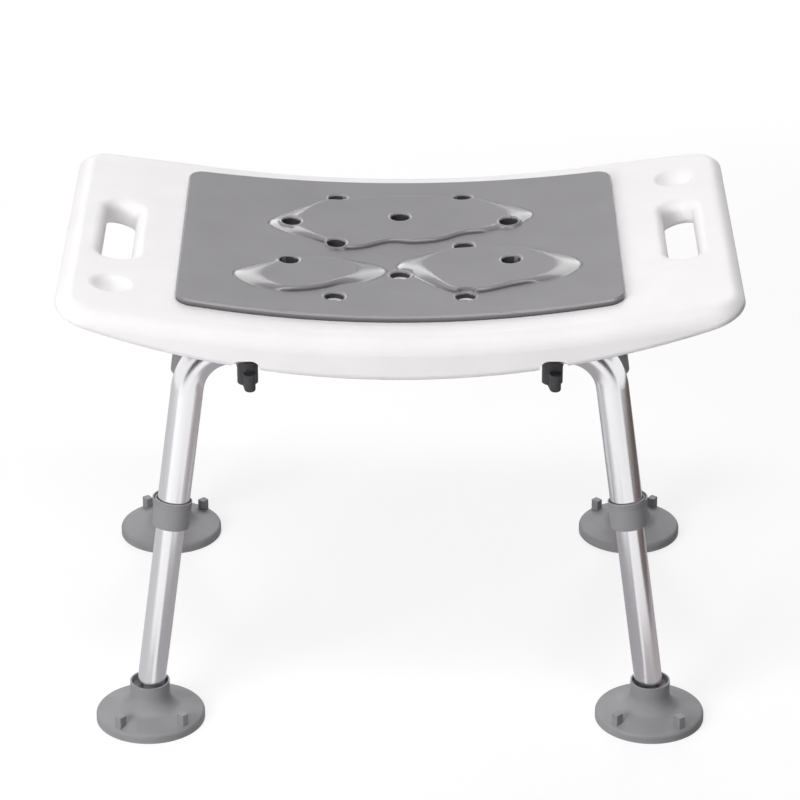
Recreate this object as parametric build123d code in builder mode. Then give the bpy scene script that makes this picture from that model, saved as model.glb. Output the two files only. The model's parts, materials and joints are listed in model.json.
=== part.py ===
"""Shower stool: a curved moulded seat with a foam pad on four splayed legs.

Every leg telescopes, is locked by a spring button, stands on a rubber suction
foot that rocks on a ball, and is held to the seat by a wing knob.
Millimetres, +Z up, +X along the seat, origin on the floor below the seat's middle.
"""

import math
import os

from build123d import *

# Seat board
SEAT_LENGTH = 520.0
SEAT_DEPTH = 322.0
SEAT_SIDE_BOW = 4.0
SEAT_HEIGHT = 328.0
SEAT_MID_THICKNESS = 34.5
SEAT_END_THICKNESS = 12.0
SEAT_DISH_RADIUS = 1050.0
SEAT_DISH_HALF = 152.0
SEAT_CORNER_RADIUS = 28.0
SEAT_TOP_EDGE_RADIUS = 14.0
SEAT_BOTTOM_EDGE_RADIUS = 4.5
BOTTOM_EDGE_SHARE = 0.38
END_ROUND_LOSS = 2.8

# Hand holes at the two ends
HAND_HOLE_LENGTH = 104.0
HAND_HOLE_WIDTH = 24.0
HAND_HOLE_END_MARGIN = 28.0
HAND_HOLE_TOP_RIM = 8.0
HAND_HOLE_BOTTOM_RIM = 3.0

# Oval dimples, one at the front left and one at the back right
DIMPLE_RADIUS = 15.0
DIMPLE_DEPTH = 6.0
DIMPLE_END_MARGIN = 43.0
DIMPLE_SIDE_MARGIN = 58.5
DIMPLE_RIM = 6.0

# Foam pad on the seat
PAD_LENGTH = 340.0
PAD_DEPTH = 260.0
PAD_SIDE_BOW = 5.0
PAD_THICKNESS = 5.0
PAD_CORNER_RADIUS = 12.0
PAD_EDGE_CHAMFER = 1.4
PAD_GLUE_LINE = 0.1
RELIEF_HEIGHT = 4.5
RELIEF_ROUND = 2.5

# Drain holes: the same places in pad and seat
DRAIN_PLACES = [(50, 0), (50, 95), (50, -95), (86, 37.5), (86, -37.5)]
DRAIN_MID_PLACES = [(0, 53), (0, -53)]
PAD_DRAIN_DIAMETER = 14.5
SEAT_DRAIN_DIAMETER = 8.0
DRAIN_CONE_DIAMETER = 22.0
DRAIN_CONE_TOP_DIAMETER = 14.0
DRAIN_FLOOR = 9.0

# Leg line: from the bend corner under the seat to the pivot in the foot
LEG_END_INSET = 102.3
ARM_SIDE_INSET = 40.7
ARM_BELOW_SEAT_TOP = 25.0
ARM_LENGTH = 89.7
SPLAY_X = 37.6
SPLAY_Y = 35.4
FOOT_PIVOT_Z = 22.0

# Leg tubes
UPPER_DIAMETER = 25.0
UPPER_WALL = 1.2
LOWER_DIAMETER = 22.0
LOWER_WALL = 1.2
BEND_RADIUS = 36.0
UPPER_LEG_LENGTH = 143.2
TUBE_STOP_GAP = 2.5

# Height lock
HEIGHT_HOLES = 7
HEIGHT_PITCH = 10.0
BUTTON_BELOW_TUBE_TOP = 14.0
BUTTON_DIAMETER = 6.0
BUTTON_PROUD = 1.6
BUTTON_FLANGE_DIAMETER = 8.0
BUTTON_FLANGE_THICKNESS = 1.0
HEIGHT_HOLE_CLEARANCE = 0.3
SPRING_WIDTH = 5.6
SPRING_GAUGE = 0.6
SPRING_LENGTH = 34.0
SPRING_BEND_RADIUS = 2.4

# Collar on the upper tube
COLLAR_DIAMETER = 28.8
COLLAR_HEIGHT = 22.0
COLLAR_LIP = 2.0
COLLAR_RIM_WALL = 1.0
COLLAR_RIM_DEPTH = 3.5
COLLAR_GROOVE = 0.5
COLLAR_GROOVE_DEPTHS = [2.0, 4.5]

# Suction foot
FOOT_DIAMETER = 85.0
FOOT_HEIGHT = 33.0
FOOT_RIM_HEIGHT = 6.6
FOOT_NECK_DIAMETER = 30.8
FOOT_NECK_WALL = 1.2
FOOT_CONE_RISE = 7.0
FOOT_FLARE_RADIUS = 13.0
FOOT_RECESS_DEPTH = 5.0
FOOT_CUP_DEPTH = 4.5
FOOT_CUP_LIP = 3.0
FOOT_RIM_ROUND = 3.0
LUG_ANGLE = 42.0
LUG_TURN = 5.0
LUG_LENGTH = 7.0
LUG_WIDTH = 6.0
LUG_TOP = 17.0
LUG_EDGE_MARGIN = 3.0
LUG_ROUND = 0.6

# Ball tip of the lower tube
BALL_DIAMETER = 16.0
BALL_NECK_DIAMETER = 8.4
BALL_TO_TUBE = 9.5
BALL_PLUG_LENGTH = 14.0
SOCKET_MOUTH_DIAMETER = 12.8

# Wing knob and its stud
KNOB_FROM_LEG = 41.7
KNOB_HUB_DIAMETER = 16.0
KNOB_HEIGHT = 17.0
KNOB_WING_LENGTH = 30.0
KNOB_WING_THICKNESS = 8.6
KNOB_WING_DROP = 3.0
KNOB_WING_TURN = 101.0
KNOB_ROUND = 1.6
STUD_DIAMETER = 6.0
STUD_IN_KNOB = 9.0
WASHER_DIAMETER = 17.0
WASHER_THICKNESS = 2.0
WASHER_EARS = 3.0
INSERT_DIAMETER = 10.0
INSERT_LENGTH = 11.0
KNOB_RECESS_DIAMETER = 40.0
KNOB_NOTCH_WIDTH = 22.0
KNOB_NOTCH_ROUND = 7.0
KNOB_RECESS_DEPTH = 7.0
KNOB_NOTCH_OVERRUN = 2.0

# Arm end plug
PLUG_CAP_THICKNESS = 2.0
PLUG_LENGTH = 12.0

# Clearances
RUNNING_CLEARANCE = 0.08
PRESS_CLEARANCE = 0.05
SLIDE_CLEARANCE = 0.35
ARM_CLEARANCE = 0.3
STUD_CLEARANCE = 0.4
CUT_REACH = 60.0
PLAN_OVERRUN = 4.0

# Tolerances for choosing faces and edges
FLAT = 0.01
STEEP = 0.5
NEAR = 1.0

# Sizes that follow from the ones above
SEAT_HALF = SEAT_LENGTH / 2
DISH_RISE = SEAT_DISH_RADIUS - math.sqrt(SEAT_DISH_RADIUS**2 - SEAT_DISH_HALF**2)
WING_SLOPE = SEAT_DISH_HALF / math.sqrt(SEAT_DISH_RADIUS**2 - SEAT_DISH_HALF**2)
SEAT_END_Z = SEAT_HEIGHT + DISH_RISE + WING_SLOPE * (SEAT_HALF - SEAT_DISH_HALF)
SEAT_UNDER_MID_Z = SEAT_HEIGHT - SEAT_MID_THICKNESS
SEAT_UNDER_END_Z = SEAT_END_Z - SEAT_END_THICKNESS
UNDER_RISE = SEAT_UNDER_END_Z - SEAT_UNDER_MID_Z
UNDER_RADIUS = (SEAT_HALF**2 + UNDER_RISE**2) / (2 * UNDER_RISE)
ARM_Z = SEAT_HEIGHT - ARM_BELOW_SEAT_TOP
ARM_Y = SEAT_DEPTH / 2 - ARM_SIDE_INSET
LEG_CORNER_X = SEAT_HALF - LEG_END_INSET
ARM_END_X = LEG_CORNER_X - ARM_LENGTH
KNOB_X = LEG_CORNER_X - KNOB_FROM_LEG
FOOT_X = LEG_CORNER_X + SPLAY_X
FOOT_Y = ARM_Y + SPLAY_Y
UPPER_RADIUS = UPPER_DIAMETER / 2
LOWER_RADIUS = LOWER_DIAMETER / 2
LOWER_BORE_RADIUS = LOWER_RADIUS - LOWER_WALL
CHANNEL_RADIUS = UPPER_RADIUS + ARM_CLEARANCE
CHANNEL_END_X = ARM_END_X - PLUG_CAP_THICKNESS - ARM_CLEARANCE
KNOB_TOP_Z = ARM_Z - UPPER_RADIUS - WASHER_THICKNESS
INSERT_BOTTOM_Z = ARM_Z + CHANNEL_RADIUS
HAND_HOLE_X = SEAT_HALF - HAND_HOLE_END_MARGIN - HAND_HOLE_WIDTH / 2
LEG_CORNERS = {
    "front_left": (-1, -1),
    "front_right": (1, -1),
    "back_left": (-1, 1),
    "back_right": (1, 1),
}
DRAIN_HOLES = DRAIN_MID_PLACES + [(side * x, y) for x, y in DRAIN_PLACES for side in (-1, 1)]

# Each puddle of the relief: outline points on the pad, going round
PUDDLES = [
    [
        (-103, 37), (-59, 86), (-8, 98), (42, 95), (79, 78), (105, 54), (83, 30),
        (50, 18), (26, 7), (0, 7), (-30, -4), (-52, -3), (-84, 17),
    ],
    [(-127, -67), (-98, -39), (-61, -26), (-27, -31), (-11, -48), (-40, -71), (-84, -91), (-114, -84)],
    [(-2, -38), (37, -9), (83, -9), (123, -29), (139, -54), (114, -77), (64, -90), (34, -82), (8, -55)],
]


def seat_top_z(x):
    """Height of the seat's upper face at a distance x from the middle."""
    x = abs(x)
    if x < SEAT_DISH_HALF:
        return SEAT_HEIGHT + SEAT_DISH_RADIUS - math.sqrt(SEAT_DISH_RADIUS**2 - x**2)
    return SEAT_HEIGHT + DISH_RISE + WING_SLOPE * (x - SEAT_DISH_HALF)


def seat_under_z(x):
    """Height of the seat's lower face at a distance x from the middle."""
    return SEAT_UNDER_MID_Z + UNDER_RADIUS - math.sqrt(UNDER_RADIUS**2 - x**2)


def leg_corner(side_x, side_y):
    """Where the arm's line and the leg's line meet."""
    return Vector(side_x * LEG_CORNER_X, side_y * ARM_Y, ARM_Z)


def foot_pivot(side_x, side_y):
    """Centre of the ball that the foot rocks on."""
    return Vector(side_x * FOOT_X, side_y * FOOT_Y, FOOT_PIVOT_Z)


def leg_down(side_x, side_y):
    """Direction of the leg, from the seat to the floor."""
    return (foot_pivot(side_x, side_y) - leg_corner(side_x, side_y)).normalized()


def lock_side(side_x, side_y):
    """Direction square to the leg, towards the stool's middle: the side of the height holes."""
    down = leg_down(side_x, side_y)
    inward = Vector(0, -side_y, 0)
    return (inward - down * inward.dot(down)).normalized()


def on_leg(side_x, side_y, distance):
    """Point on the leg's line, at a distance below the bend corner."""
    return leg_corner(side_x, side_y) + leg_down(side_x, side_y) * distance


ARM_DIRECTION = Vector(-1, 0, 0)
BEND_ANGLE = ARM_DIRECTION.get_angle(leg_down(1, 1) * -1)
BEND_TANGENT = BEND_RADIUS * math.tan(math.radians(BEND_ANGLE) / 2)
LEG_LENGTH = (foot_pivot(1, 1) - leg_corner(1, 1)).length
LOWER_TOP = BEND_TANGENT + TUBE_STOP_GAP
LOWER_END = LEG_LENGTH - BALL_TO_TUBE
LOCK_AT = LOWER_TOP + BUTTON_BELOW_TUBE_TOP


def arm_route(side_x, side_y):
    """Corner points of the upper tube: leg end, bend corner, arm end."""
    arm_end = Vector(side_x * ARM_END_X, side_y * ARM_Y, ARM_Z)
    return [on_leg(side_x, side_y, UPPER_LEG_LENGTH), leg_corner(side_x, side_y), arm_end]


def leg_plane(side_x, side_y, distance):
    """Plane square to the leg, facing down, with its X axis to the lock side."""
    return Plane(
        origin=on_leg(side_x, side_y, distance),
        x_dir=lock_side(side_x, side_y),
        z_dir=leg_down(side_x, side_y),
    )


def bowed_plan(length, depth, bow, corner):
    """Sketch of an oblong with round corners, whose two long sides bow out towards their middle."""
    with BuildSketch() as plan:
        with BuildLine():
            corners = [(side * length / 2, depth / 2 - bow) for side in (-1, 1)]
            back = ThreePointArc(corners[0], (0, depth / 2), corners[1])
            front = mirror(back, about=Plane.XZ)
            Line(front @ 0, back @ 0)
            Line(front @ 1, back @ 1)
        make_face()
        fillet(plan.vertices(), corner)
    return plan.sketch


def make_seat_shell():
    """The curved board with its edges, openings, arm channels and drain cones."""
    half = SEAT_HALF + END_ROUND_LOSS
    reach = half + PLAN_OVERRUN
    with BuildPart() as seat_shell:
        with BuildSketch(Plane.XZ):
            with BuildLine():
                dish = ThreePointArc(
                    (-SEAT_DISH_HALF, SEAT_HEIGHT + DISH_RISE),
                    (0, SEAT_HEIGHT),
                    (SEAT_DISH_HALF, SEAT_HEIGHT + DISH_RISE),
                )
                block_end = (reach, SEAT_HEIGHT - CUT_REACH)
                Polyline(dish @ 1, (reach, seat_top_z(reach)), block_end)
                Polyline(dish @ 0, (-reach, seat_top_z(reach)), (-block_end[0], block_end[1]), block_end)
            make_face()
        extrude(amount=SEAT_DEPTH, both=True)
        plan = bowed_plan(2 * half, SEAT_DEPTH, SEAT_SIDE_BOW, SEAT_CORNER_RADIUS)
        extrude(plan, amount=SEAT_END_Z + CUT_REACH, mode=Mode.INTERSECT)
        walls = seat_shell.faces().filter_by(lambda face: abs(face.normal_at().Z) < FLAT)
        upper = seat_shell.faces().filter_by(lambda face: face.normal_at().Z > STEEP)
        fillet(upper.edges() & walls.edges(), SEAT_TOP_EDGE_RADIUS)
        with BuildSketch(Plane.XZ):
            with BuildLine():
                under = ThreePointArc(
                    (-reach, seat_under_z(reach)),
                    (0, SEAT_UNDER_MID_Z),
                    (reach, seat_under_z(reach)),
                )
                Polyline(under @ 1, (reach, 0), (-reach, 0), under @ 0)
            make_face()
        extrude(amount=SEAT_DEPTH, both=True, mode=Mode.SUBTRACT)
        lower = seat_shell.faces().sort_by(Axis.Z)[0]
        bottom_round = min(SEAT_BOTTOM_EDGE_RADIUS, BOTTOM_EDGE_SHARE * SEAT_END_THICKNESS)
        fillet(lower.edges(), bottom_round)
        before = seat_shell.edges()
        with BuildSketch(Plane.XY.offset(SEAT_END_Z)):
            with Locations((HAND_HOLE_X, 0), (-HAND_HOLE_X, 0)):
                SlotOverall(HAND_HOLE_LENGTH, HAND_HOLE_WIDTH, rotation=90)
        extrude(amount=CUT_REACH, both=True, mode=Mode.SUBTRACT)
        cut = seat_shell.edges() - before
        rims = cut.filter_by(Axis.Z, reverse=True)
        rim_split = seat_top_z(HAND_HOLE_X) - SEAT_END_THICKNESS / 2
        fillet(rims.filter_by(lambda edge: edge.center().Z > rim_split), HAND_HOLE_TOP_RIM)
        rims = (seat_shell.edges() - before).filter_by(on_hand_hole_bottom)
        fillet(rims, HAND_HOLE_BOTTOM_RIM)
        dimple_sphere = (DIMPLE_RADIUS**2 + DIMPLE_DEPTH**2) / (2 * DIMPLE_DEPTH)
        dimple_x = SEAT_HALF - DIMPLE_END_MARGIN
        dimple_y = SEAT_DEPTH / 2 - DIMPLE_SIDE_MARGIN
        dimple_z = seat_top_z(dimple_x) - DIMPLE_DEPTH + dimple_sphere
        before = seat_shell.edges()
        with Locations((-dimple_x, -dimple_y, dimple_z), (dimple_x, dimple_y, dimple_z)):
            Sphere(dimple_sphere, mode=Mode.SUBTRACT)
        fillet(seat_shell.edges() - before, DIMPLE_RIM)
        for side_x, side_y in LEG_CORNERS.values():
            cut_arm_channel(side_x, side_y)
            cut_knob_recess(side_x, side_y)
        for x, y in DRAIN_HOLES:
            cut_drain(x, y)
    return seat_shell.part


def on_hand_hole_bottom(edge):
    """True for the lower rim edges of the hand holes."""
    centre = edge.center()
    on_face = abs(centre.Z - seat_under_z(centre.X)) < NEAR
    return on_face and abs(edge.tangent_at(0.5).Z) < STEEP


def cut_arm_channel(side_x, side_y):
    """Half-round channel for the arm and its bend, open downwards, with the insert's pocket."""
    with BuildLine():
        leg_end, corner, arm_end = arm_route(side_x, side_y)
        channel_end = Vector(side_x * CHANNEL_END_X, arm_end.Y, arm_end.Z)
        route = FilletPolyline(leg_end, corner, channel_end, radius=BEND_RADIUS)
    with BuildSketch(Plane(origin=route @ 0, z_dir=route % 0)) as section:
        Circle(CHANNEL_RADIUS)
    sweep(section.sketch, path=route, mode=Mode.SUBTRACT)
    slot_length = LEG_CORNER_X - CHANNEL_END_X
    with BuildSketch(Plane.XY.offset(ARM_Z)) as slot:
        with Locations((side_x * (CHANNEL_END_X + slot_length / 2), side_y * ARM_Y)):
            Rectangle(slot_length, 2 * CHANNEL_RADIUS)
    extrude(slot.sketch, amount=-CUT_REACH, mode=Mode.SUBTRACT)
    with BuildSketch(Plane.XY.offset(ARM_Z)) as pocket:
        with Locations((side_x * KNOB_X, side_y * ARM_Y)):
            Circle(INSERT_DIAMETER / 2 + PRESS_CLEARANCE)
    extrude(pocket.sketch, amount=CHANNEL_RADIUS + INSERT_LENGTH, mode=Mode.SUBTRACT)


def cut_knob_recess(side_x, side_y):
    """Round recess over the knob with a finger notch to the seat's long edge."""
    ceiling = seat_under_z(KNOB_X) + KNOB_RECESS_DEPTH
    with BuildSketch(Plane.XY.offset(ceiling)) as recess:
        with Locations((side_x * KNOB_X, side_y * ARM_Y)):
            Circle(KNOB_RECESS_DIAMETER / 2)
    extrude(recess.sketch, amount=-CUT_REACH, mode=Mode.SUBTRACT)
    middle = (side_x * KNOB_X, side_y * ARM_Y, ceiling - CUT_REACH / 2)
    with BuildSketch(Plane(origin=middle, x_dir=(1, 0, 0), z_dir=(0, side_y, 0))) as notch:
        RectangleRounded(KNOB_NOTCH_WIDTH, CUT_REACH, KNOB_NOTCH_ROUND)
    extrude(notch.sketch, amount=SEAT_DEPTH / 2 - ARM_Y + KNOB_NOTCH_OVERRUN, mode=Mode.SUBTRACT)


def cut_drain(x, y):
    """Drain hole with the hollow cone that joins the two walls from below."""
    floor = seat_top_z(x) - DRAIN_FLOOR
    depth = floor - seat_under_z(x)
    flare = math.atan((DRAIN_CONE_DIAMETER - DRAIN_CONE_TOP_DIAMETER) / 2 / depth)
    reach = depth + DRAIN_FLOOR
    with Locations((x, y, floor - reach / 2)):
        Cone(
            DRAIN_CONE_TOP_DIAMETER / 2 + reach * math.tan(flare),
            DRAIN_CONE_TOP_DIAMETER / 2,
            reach,
            mode=Mode.SUBTRACT,
        )
    with Locations((x, y, floor)):
        Cylinder(SEAT_DRAIN_DIAMETER / 2, CUT_REACH, mode=Mode.SUBTRACT)


def pad_section(bottom, top):
    """Sketch of a slab that follows the seat's upper face, between two heights above it."""
    half = PAD_LENGTH / 2 + PLAN_OVERRUN
    with BuildSketch(Plane.XZ) as section:
        with BuildLine():
            for lift in (bottom, top):
                arc = ThreePointArc(
                    (-SEAT_DISH_HALF, SEAT_HEIGHT + DISH_RISE + lift),
                    (0, SEAT_HEIGHT + lift),
                    (SEAT_DISH_HALF, SEAT_HEIGHT + DISH_RISE + lift),
                )
                Line(arc @ 1, (half, seat_top_z(half) + lift))
                Line(arc @ 0, (-half, seat_top_z(half) + lift))
            for side in (-half, half):
                Line((side, seat_top_z(half) + bottom), (side, seat_top_z(half) + top))
        make_face()
    return section.sketch


def make_seat_pad():
    """Foam pad that follows the seat's curve, with its puddle relief and drain holes."""
    pad_top = PAD_GLUE_LINE + PAD_THICKNESS
    with BuildPart() as relief:
        for outline in PUDDLES:
            with BuildSketch(Plane.XY.offset(SEAT_HEIGHT)):
                with BuildLine():
                    Spline(*outline, periodic=True)
                make_face()
        extrude(amount=CUT_REACH)
        extrude(
            pad_section(PAD_GLUE_LINE + PAD_THICKNESS / 2, pad_top + RELIEF_HEIGHT),
            amount=PAD_DEPTH / 2,
            both=True,
            mode=Mode.INTERSECT,
        )
        tops = relief.faces().filter_by(lambda face: face.normal_at().Z > STEEP)
        fillet(tops.edges(), RELIEF_ROUND)
    with BuildPart() as seat_pad:
        extrude(pad_section(PAD_GLUE_LINE, pad_top), amount=PAD_DEPTH, both=True)
        plan = bowed_plan(PAD_LENGTH, PAD_DEPTH, PAD_SIDE_BOW, PAD_CORNER_RADIUS)
        extrude(plan, amount=SEAT_END_Z + CUT_REACH, mode=Mode.INTERSECT)
        walls = seat_pad.faces().filter_by(lambda face: abs(face.normal_at().Z) < FLAT)
        upper = seat_pad.faces().filter_by(lambda face: face.normal_at().Z > STEEP)
        chamfer(upper.edges() & walls.edges(), PAD_EDGE_CHAMFER)
        add(relief.part)
        with BuildSketch(Plane.XY.offset(SEAT_HEIGHT - PAD_THICKNESS)):
            with Locations(*DRAIN_HOLES):
                Circle(PAD_DRAIN_DIAMETER / 2)
        extrude(amount=CUT_REACH, mode=Mode.SUBTRACT)
    return seat_pad.part


def make_upper_tube(side_x, side_y):
    """Bent leg tube: the arm under the seat, the bend and the leg with its height holes."""
    with BuildPart() as upper_tube:
        with BuildLine():
            route = FilletPolyline(*arm_route(side_x, side_y), radius=BEND_RADIUS)
        with BuildSketch(Plane(origin=route @ 0, z_dir=route % 0)):
            Circle(UPPER_RADIUS)
            Circle(UPPER_RADIUS - UPPER_WALL, mode=Mode.SUBTRACT)
        sweep(path=route)
        for step in range(HEIGHT_HOLES):
            origin = on_leg(side_x, side_y, LOCK_AT + step * HEIGHT_PITCH)
            with BuildSketch(Plane(origin=origin, z_dir=lock_side(side_x, side_y))):
                Circle(BUTTON_DIAMETER / 2 + HEIGHT_HOLE_CLEARANCE)
            extrude(amount=UPPER_DIAMETER, mode=Mode.SUBTRACT)
        with BuildSketch(Plane.XY.offset(ARM_Z)):
            with Locations((side_x * KNOB_X, side_y * ARM_Y)):
                Circle(STUD_DIAMETER / 2 + STUD_CLEARANCE)
        extrude(amount=UPPER_DIAMETER, both=True, mode=Mode.SUBTRACT)
    return upper_tube.part


def make_collar(side_x, side_y):
    """Collar on the tube's end: thin upper rim, bore for the tube, lip for the lower tube."""
    end = UPPER_LEG_LENGTH + COLLAR_LIP
    top = end - COLLAR_HEIGHT
    with BuildPart() as collar:
        with BuildSketch(leg_plane(side_x, side_y, top)):
            Circle(COLLAR_DIAMETER / 2)
        extrude(amount=COLLAR_HEIGHT)
        outer = collar.edges().filter_by(GeomType.CIRCLE)
        fillet(outer, COLLAR_GROOVE)
        with BuildSketch(leg_plane(side_x, side_y, top)):
            Circle(UPPER_RADIUS + PRESS_CLEARANCE)
        extrude(amount=COLLAR_HEIGHT - COLLAR_LIP, mode=Mode.SUBTRACT)
        with BuildSketch(leg_plane(side_x, side_y, top)):
            Circle(LOWER_RADIUS + SLIDE_CLEARANCE)
        extrude(amount=COLLAR_HEIGHT, mode=Mode.SUBTRACT)
        with BuildSketch(leg_plane(side_x, side_y, top)):
            Circle(COLLAR_DIAMETER / 2 - COLLAR_RIM_WALL)
        extrude(amount=COLLAR_RIM_DEPTH, mode=Mode.SUBTRACT)
        for depth in COLLAR_GROOVE_DEPTHS:
            with BuildSketch(leg_plane(side_x, side_y, top + depth)):
                Circle(COLLAR_DIAMETER / 2 + COLLAR_GROOVE)
                Circle(COLLAR_DIAMETER / 2 - COLLAR_GROOVE / 2, mode=Mode.SUBTRACT)
            extrude(amount=COLLAR_GROOVE, mode=Mode.SUBTRACT)
    return collar.part


def make_arm_plugs():
    """The four caps that close the inner ends of the arms."""
    with BuildPart() as arm_plugs:
        for side_x, side_y in LEG_CORNERS.values():
            end = Plane(origin=(side_x * ARM_END_X, side_y * ARM_Y, ARM_Z), z_dir=(side_x, 0, 0))
            with BuildSketch(end):
                Circle(UPPER_RADIUS)
            extrude(amount=-PLUG_CAP_THICKNESS)
            with BuildSketch(end):
                Circle(UPPER_RADIUS - UPPER_WALL - PRESS_CLEARANCE)
            extrude(amount=PLUG_LENGTH)
    return arm_plugs.part


def make_thread_inserts():
    """The four inserts in the seat that the knob studs screw into."""
    with BuildPart() as thread_inserts:
        with BuildSketch(Plane.XY.offset(INSERT_BOTTOM_Z)):
            with Locations(*[(sx * KNOB_X, sy * ARM_Y) for sx, sy in LEG_CORNERS.values()]):
                Circle(INSERT_DIAMETER / 2)
                Circle(STUD_DIAMETER / 2 + RUNNING_CLEARANCE, mode=Mode.SUBTRACT)
        extrude(amount=INSERT_LENGTH)
    return thread_inserts.part


def make_lower_tube(side_x, side_y):
    """Straight sliding tube with the hole for its button."""
    with BuildPart() as lower_tube:
        with BuildSketch(leg_plane(side_x, side_y, LOWER_TOP)):
            Circle(LOWER_RADIUS)
            Circle(LOWER_BORE_RADIUS, mode=Mode.SUBTRACT)
        extrude(amount=LOWER_END - LOWER_TOP)
        origin = on_leg(side_x, side_y, LOCK_AT)
        with BuildSketch(Plane(origin=origin, z_dir=lock_side(side_x, side_y))):
            Circle(BUTTON_DIAMETER / 2 + RUNNING_CLEARANCE)
        extrude(amount=LOWER_DIAMETER, mode=Mode.SUBTRACT)
    return lower_tube.part


def make_ball_tip(side_x, side_y):
    """Plug in the tube's lower end, with a neck and the ball under it."""
    with BuildPart() as ball_tip:
        with BuildSketch(leg_plane(side_x, side_y, LOWER_END - BALL_PLUG_LENGTH)):
            Circle(LOWER_BORE_RADIUS - PRESS_CLEARANCE)
        extrude(amount=BALL_PLUG_LENGTH)
        with BuildSketch(leg_plane(side_x, side_y, LOWER_END)):
            Circle(BALL_NECK_DIAMETER / 2)
        extrude(amount=BALL_TO_TUBE)
        with Locations(foot_pivot(side_x, side_y)):
            Sphere(BALL_DIAMETER / 2)
    return ball_tip.part


def button_back():
    """Distance from the tube's line to the inner face of the button's flange."""
    half = BUTTON_FLANGE_DIAMETER / 2
    reach = LOWER_BORE_RADIUS - RUNNING_CLEARANCE
    return math.sqrt(reach**2 - half**2) - BUTTON_FLANGE_THICKNESS


def make_height_button(side_x, side_y):
    """Domed button that reaches through both tubes, with a flange inside."""
    origin = on_leg(side_x, side_y, LOCK_AT) + lock_side(side_x, side_y) * button_back()
    length = UPPER_RADIUS + BUTTON_PROUD - button_back()
    with BuildPart() as height_button:
        with BuildSketch(Plane(origin=origin, z_dir=lock_side(side_x, side_y))):
            Circle(BUTTON_FLANGE_DIAMETER / 2)
        extrude(amount=BUTTON_FLANGE_THICKNESS)
        with BuildSketch(Plane(origin=origin, z_dir=lock_side(side_x, side_y))):
            Circle(BUTTON_DIAMETER / 2)
        extrude(amount=length)
        tip = height_button.faces().sort_by(Axis(origin, lock_side(side_x, side_y)))[-1]
        fillet(tip.edges(), BUTTON_PROUD)
    return height_button.part


def make_button_spring(side_x, side_y):
    """V-shaped leaf inside the lower tube: one arm under the button, one on the far wall."""
    lead = BUTTON_FLANGE_DIAMETER / 2
    near = button_back() - SPRING_GAUGE
    far = math.sqrt(LOWER_BORE_RADIUS**2 - SPRING_WIDTH**2 / 4) - SPRING_GAUGE
    inward = lock_side(side_x, side_y)
    button_end = on_leg(side_x, side_y, LOCK_AT - lead) + inward * near
    apex = on_leg(side_x, side_y, LOCK_AT + SPRING_LENGTH)
    wall_end = on_leg(side_x, side_y, LOCK_AT - lead) - inward * far
    with BuildPart() as button_spring:
        with BuildLine():
            route = FilletPolyline(button_end, apex, wall_end, radius=SPRING_BEND_RADIUS)
        across = leg_down(side_x, side_y).cross(inward)
        with BuildSketch(Plane(origin=route @ 0, x_dir=across, z_dir=route % 0)):
            Rectangle(SPRING_WIDTH, SPRING_GAUGE)
        sweep(path=route)
    return button_spring.part


def make_suction_foot(side_x, side_y):
    """Rubber foot: hollow cup below, flared top, thin neck with the ball's socket, two lugs."""
    centre = Vector(side_x * FOOT_X, side_y * FOOT_Y, 0)
    radius = FOOT_DIAMETER / 2
    neck = FOOT_NECK_DIAMETER / 2
    with BuildPart() as suction_foot:
        with BuildSketch(Plane(origin=centre, x_dir=(1, 0, 0), z_dir=(0, -1, 0))):
            with BuildLine():
                flare = FilletPolyline(
                    (radius, FOOT_RIM_HEIGHT),
                    (neck, FOOT_RIM_HEIGHT + FOOT_CONE_RISE),
                    (neck, FOOT_HEIGHT),
                    radius=FOOT_FLARE_RADIUS,
                )
                lip = radius - FOOT_CUP_LIP
                Polyline(flare @ 0, (radius, 0), (lip, 0))
                cup_radius = (lip**2 + FOOT_CUP_DEPTH**2) / (2 * FOOT_CUP_DEPTH)
                RadiusArc((lip, 0), (0, FOOT_CUP_DEPTH), -cup_radius)
                Polyline((0, FOOT_CUP_DEPTH), (0, FOOT_HEIGHT), flare @ 1)
            make_face()
        revolve(axis=Axis(centre, (0, 0, 1)))
        rim = suction_foot.edges().filter_by(GeomType.CIRCLE)
        rim = rim.filter_by(lambda edge: abs(edge.center().Z - FOOT_RIM_HEIGHT) < FLAT)
        fillet(rim, FOOT_RIM_ROUND)
        with BuildSketch(Plane(origin=centre).offset(FOOT_HEIGHT)):
            Circle(neck - FOOT_NECK_WALL)
        extrude(amount=-FOOT_RECESS_DEPTH, mode=Mode.SUBTRACT)
        with BuildSketch(Plane(origin=centre).offset(FOOT_HEIGHT)):
            Circle(SOCKET_MOUTH_DIAMETER / 2)
        extrude(amount=FOOT_PIVOT_Z - FOOT_HEIGHT, mode=Mode.SUBTRACT)
        with Locations(foot_pivot(side_x, side_y)):
            Sphere(BALL_DIAMETER / 2 + RUNNING_CLEARANCE, mode=Mode.SUBTRACT)
        for turn in (-LUG_ANGLE, LUG_ANGLE):
            add_pull_lug(centre, 90 * side_y + LUG_TURN * side_x * side_y + turn)
    return suction_foot.part


def add_pull_lug(centre, angle):
    """One upright block near the foot's rim, pointing out at an angle from +X."""
    outward = Vector(1, 0, 0).rotate(Axis.Z, angle)
    radius = FOOT_DIAMETER / 2 - LUG_EDGE_MARGIN - LUG_LENGTH / 2
    base = Plane(origin=centre + outward * radius, x_dir=outward, z_dir=(0, 0, 1))
    with BuildSketch(base.offset(FOOT_RIM_HEIGHT / 2)) as footprint:
        RectangleRounded(LUG_LENGTH, LUG_WIDTH, LUG_ROUND)
    extrude(footprint.sketch, amount=LUG_TOP - FOOT_RIM_HEIGHT / 2)


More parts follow.
